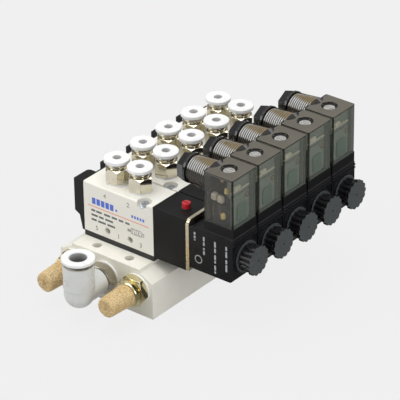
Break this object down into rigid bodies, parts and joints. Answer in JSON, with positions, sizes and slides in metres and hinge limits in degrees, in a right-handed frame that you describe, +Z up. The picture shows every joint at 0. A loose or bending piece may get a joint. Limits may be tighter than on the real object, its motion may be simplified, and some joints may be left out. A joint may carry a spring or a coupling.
{
  "type": "pneumatic valve island",
  "caption": "Row of sprung solenoid air valves on one manifold bar, with push-in tube fittings, a swivel supply elbow, exhaust silencers and smoked cable plugs.",
  "frame": {"origin": "middle of the four mounting holes, on the underside of the manifold bar", "axes": "+X along each valve from the end cap to the coil nut, +Y along the row away from the supply elbow, +Z up through the fittings"},
  "size_m": [0.1245, 0.1709, 0.1009],
  "materials": {
    "manifold": "ivory baked coating on aluminium",
    "channel_plugs": "plain turned brass",
    "station_gaskets": "black moulded rubber",
    "valve_bodies": "ivory white baked coating",
    "end_caps": "black moulded plastic",
    "pilot_heads": "black moulded plastic",
    "override_rings": "black rubber",
    "yoke_plates": "yellow zinc plated sheet steel",
    "coils": "black satin moulding",
    "core_tubes": "drawn stainless steel",
    "coil_nuts": "black moulded plastic",
    "plug_gaskets": "black rubber",
    "plug_bases": "black moulded plastic",
    "terminal_blocks": "dark grey moulded plastic",
    "plug_covers": "smoked clear plastic",
    "indicator_boards": "green circuit board",
    "plug_screws": "bright zinc",
    "gland_nuts": "black moulded plastic",
    "gland_seals": "black rubber",
    "hold_down_screws": "bright zinc",
    "end_screws": "bright zinc",
    "fitting_bodies": "nickel plated brass",
    "port_washers": "white plastic seal",
    "elbow_stud": "nickel plated brass",
    "silencer_hexes": "bright turned brass",
    "silencer_elements": "sintered bronze grain",
    "return_springs": "spring wire",
    "elbow_body": "light grey moulded plastic",
    "elbow_ring": "nickel plated brass",
    "elbow_collar": "white moulded plastic",
    "spool": "ground aluminium",
    "armature": "ground iron",
    "override_spring": "spring wire",
    "override_pin": "red moulded plastic",
    "collar": "white moulded plastic"
  },
  "bodies": {
    "manifold_block": {"manifold": "manifold", "channel_plugs": "channel_plugs", "station_gaskets": "station_gaskets", "valve_bodies": "valve_bodies", "end_caps": "end_caps", "pilot_heads": "pilot_heads", "override_rings": "override_rings", "yoke_plates": "yoke_plates", "coils": "coils", "core_tubes": "core_tubes", "coil_nuts": "coil_nuts", "plug_gaskets": "plug_gaskets", "plug_bases": "plug_bases", "terminal_blocks": "terminal_blocks", "plug_covers": "plug_covers", "indicator_boards": "indicator_boards", "plug_screws": "plug_screws", "gland_nuts": "gland_nuts", "gland_seals": "gland_seals", "hold_down_screws": "hold_down_screws", "end_screws": "end_screws", "fitting_bodies": "fitting_bodies", "port_washers": "port_washers", "elbow_stud": "elbow_stud", "silencer_hexes": "silencer_hexes", "silencer_elements": "silencer_elements", "return_springs": "return_springs"},
    "elbow": {"elbow_body": "elbow_body", "elbow_ring": "elbow_ring"},
    "elbow_release": {"elbow_collar": "elbow_collar"},
    "spool_body_1": {"spool_1": "spool"},
    "armature_body_1": {"armature_1": "armature"},
    "override_slide_1": {"override_spring_1": "override_spring"},
    "override_knob_1": {"override_pin_1": "override_pin"},
    "release_a_1": {"collar_a_1": "collar"},
    "release_b_1": {"collar_b_1": "collar"},
    "spool_body_2": {"spool_2": "spool"},
    "armature_body_2": {"armature_2": "armature"},
    "override_slide_2": {"override_spring_2": "override_spring"},
    "override_knob_2": {"override_pin_2": "override_pin"},
    "release_a_2": {"collar_a_2": "collar"},
    "release_b_2": {"collar_b_2": "collar"},
    "spool_body_3": {"spool_3": "spool"},
    "armature_body_3": {"armature_3": "armature"},
    "override_slide_3": {"override_spring_3": "override_spring"},
    "override_knob_3": {"override_pin_3": "override_pin"},
    "release_a_3": {"collar_a_3": "collar"},
    "release_b_3": {"collar_b_3": "collar"},
    "spool_body_4": {"spool_4": "spool"},
    "armature_body_4": {"armature_4": "armature"},
    "override_slide_4": {"override_spring_4": "override_spring"},
    "override_knob_4": {"override_pin_4": "override_pin"},
    "release_a_4": {"collar_a_4": "collar"},
    "release_b_4": {"collar_b_4": "collar"},
    "spool_body_5": {"spool_5": "spool"},
    "armature_body_5": {"armature_5": "armature"},
    "override_slide_5": {"override_spring_5": "override_spring"},
    "override_knob_5": {"override_pin_5": "override_pin"},
    "release_a_5": {"collar_a_5": "collar"},
    "release_b_5": {"collar_b_5": "collar"}
  },
  "joints": [
    {"name": "spool_shift_1", "type": "slide", "parent": "manifold_block", "child": "spool_body_1", "axis": [-1, 0, 0], "range_m": [0, 0.0025], "stiffness_N_per_m": 400, "springref_m": -0.002, "deforming": ["return_springs"]},
    {"name": "armature_pull_1", "type": "slide", "parent": "manifold_block", "child": "armature_body_1", "axis": [1, 0, 0], "range_m": [0, 0.0008], "stiffness_N_per_m": 300, "springref_m": -0.001, "deforming": ["return_springs"]},
    {"name": "override_push_1", "type": "slide", "parent": "manifold_block", "child": "override_slide_1", "axis": [0, 0, -1], "range_m": [0, 0.0015], "stiffness_N_per_m": 500, "springref_m": -0.001, "deforming": ["override_spring_1"]},
    {"name": "override_turn_1", "type": "hinge", "parent": "override_slide_1", "child": "override_knob_1", "pos_m": [0.0405, -0.046, 0.0645], "axis": [0, 0, 1], "range_deg": [0, 90]},
    {"name": "collar_release_a_1", "type": "slide", "parent": "manifold_block", "child": "release_a_1", "axis": [0, 0, -1], "range_m": [0, 0.0012], "stiffness_N_per_m": 600, "springref_m": -0.0005},
    {"name": "collar_release_b_1", "type": "slide", "parent": "manifold_block", "child": "release_b_1", "axis": [0, 0, -1], "range_m": [0, 0.0012], "stiffness_N_per_m": 600, "springref_m": -0.0005},
    {"name": "spool_shift_2", "type": "slide", "parent": "manifold_block", "child": "spool_body_2", "axis": [-1, 0, 0], "range_m": [0, 0.0025], "stiffness_N_per_m": 400, "springref_m": -0.002, "deforming": ["return_springs"]},
    {"name": "armature_pull_2", "type": "slide", "parent": "manifold_block", "child": "armature_body_2", "axis": [1, 0, 0], "range_m": [0, 0.0008], "stiffness_N_per_m": 300, "springref_m": -0.001, "deforming": ["return_springs"]},
    {"name": "override_push_2", "type": "slide", "parent": "manifold_block", "child": "override_slide_2", "axis": [0, 0, -1], "range_m": [0, 0.0015], "stiffness_N_per_m": 500, "springref_m": -0.001, "deforming": ["override_spring_2"]},
    {"name": "override_turn_2", "type": "hinge", "parent": "override_slide_2", "child": "override_knob_2", "pos_m": [0.0405, -0.023, 0.0645], "axis": [0, 0, 1], "range_deg": [0, 90]},
    {"name": "collar_release_a_2", "type": "slide", "parent": "manifold_block", "child": "release_a_2", "axis": [0, 0, -1], "range_m": [0, 0.0012], "stiffness_N_per_m": 600, "springref_m": -0.0005},
    {"name": "collar_release_b_2", "type": "slide", "parent": "manifold_block", "child": "release_b_2", "axis": [0, 0, -1], "range_m": [0, 0.0012], "stiffness_N_per_m": 600, "springref_m": -0.0005},
    {"name": "spool_shift_3", "type": "slide", "parent": "manifold_block", "child": "spool_body_3", "axis": [-1, 0, 0], "range_m": [0, 0.0025], "stiffness_N_per_m": 400, "springref_m": -0.002, "deforming": ["return_springs"]},
    {"name": "armature_pull_3", "type": "slide", "parent": "manifold_block", "child": "armature_body_3", "axis": [1, 0, 0], "range_m": [0, 0.0008], "stiffness_N_per_m": 300, "springref_m": -0.001, "deforming": ["return_springs"]},
    {"name": "override_push_3", "type": "slide", "parent": "manifold_block", "child": "override_slide_3", "axis": [0, 0, -1], "range_m": [0, 0.0015], "stiffness_N_per_m": 500, "springref_m": -0.001, "deforming": ["override_spring_3"]},
    {"name": "override_turn_3", "type": "hinge", "parent": "override_slide_3", "child": "override_knob_3", "pos_m": [0.0405, 0, 0.0645], "axis": [0, 0, 1], "range_deg": [0, 90]},
    {"name": "collar_release_a_3", "type": "slide", "parent": "manifold_block", "child": "release_a_3", "axis": [0, 0, -1], "range_m": [0, 0.0012], "stiffness_N_per_m": 600, "springref_m": -0.0005},
    {"name": "collar_release_b_3", "type": "slide", "parent": "manifold_block", "child": "release_b_3", "axis": [0, 0, -1], "range_m": [0, 0.0012], "stiffness_N_per_m": 600, "springref_m": -0.0005},
    {"name": "spool_shift_4", "type": "slide", "parent": "manifold_block", "child": "spool_body_4", "axis": [-1, 0, 0], "range_m": [0, 0.0025], "stiffness_N_per_m": 400, "springref_m": -0.002, "deforming": ["return_springs"]},
    {"name": "armature_pull_4", "type": "slide", "parent": "manifold_block", "child": "armature_body_4", "axis": [1, 0, 0], "range_m": [0, 0.0008], "stiffness_N_per_m": 300, "springref_m": -0.001, "deforming": ["return_springs"]},
    {"name": "override_push_4", "type": "slide", "parent": "manifold_block", "child": "override_slide_4", "axis": [0, 0, -1], "range_m": [0, 0.0015], "stiffness_N_per_m": 500, "springref_m": -0.001, "deforming": ["override_spring_4"]},
    {"name": "override_turn_4", "type": "hinge", "parent": "override_slide_4", "child": "override_knob_4", "pos_m": [0.0405, 0.023, 0.0645], "axis": [0, 0, 1], "range_deg": [0, 90]},
    {"name": "collar_release_a_4", "type": "slide", "parent": "manifold_block", "child": "release_a_4", "axis": [0, 0, -1], "range_m": [0, 0.0012], "stiffness_N_per_m": 600, "springref_m": -0.0005},
    {"name": "collar_release_b_4", "type": "slide", "parent": "manifold_block", "child": "release_b_4", "axis": [0, 0, -1], "range_m": [0, 0.0012], "stiffness_N_per_m": 600, "springref_m": -0.0005},
    {"name": "spool_shift_5", "type": "slide", "parent": "manifold_block", "child": "spool_body_5", "axis": [-1, 0, 0], "range_m": [0, 0.0025], "stiffness_N_per_m": 400, "springref_m": -0.002, "deforming": ["return_springs"]},
    {"name": "armature_pull_5", "type": "slide", "parent": "manifold_block", "child": "armature_body_5", "axis": [1, 0, 0], "range_m": [0, 0.0008], "stiffness_N_per_m": 300, "springref_m": -0.001, "deforming": ["return_springs"]},
    {"name": "override_push_5", "type": "slide", "parent": "manifold_block", "child": "override_slide_5", "axis": [0, 0, -1], "range_m": [0, 0.0015], "stiffness_N_per_m": 500, "springref_m": -0.001, "deforming": ["override_spring_5"]},
    {"name": "override_turn_5", "type": "hinge", "parent": "override_slide_5", "child": "override_knob_5", "pos_m": [0.0405, 0.046, 0.0645], "axis": [0, 0, 1], "range_deg": [0, 90]},
    {"name": "collar_release_a_5", "type": "slide", "parent": "manifold_block", "child": "release_a_5", "axis": [0, 0, -1], "range_m": [0, 0.0012], "stiffness_N_per_m": 600, "springref_m": -0.0005},
    {"name": "collar_release_b_5", "type": "slide", "parent": "manifold_block", "child": "release_b_5", "axis": [0, 0, -1], "range_m": [0, 0.0012], "stiffness_N_per_m": 600, "springref_m": -0.0005},
    {"name": "elbow_swivel", "type": "hinge", "parent": "manifold_block", "child": "elbow", "pos_m": [0, -0.0923, 0.0167], "axis": [0, 1, 0], "range_deg": [-40, 40]},
    {"name": "elbow_release_push", "type": "slide", "parent": "elbow", "child": "elbow_release", "axis": [0, 0, -1], "range_m": [0, 0.0012], "stiffness_N_per_m": 800, "springref_m": -0.0005}
  ]
}
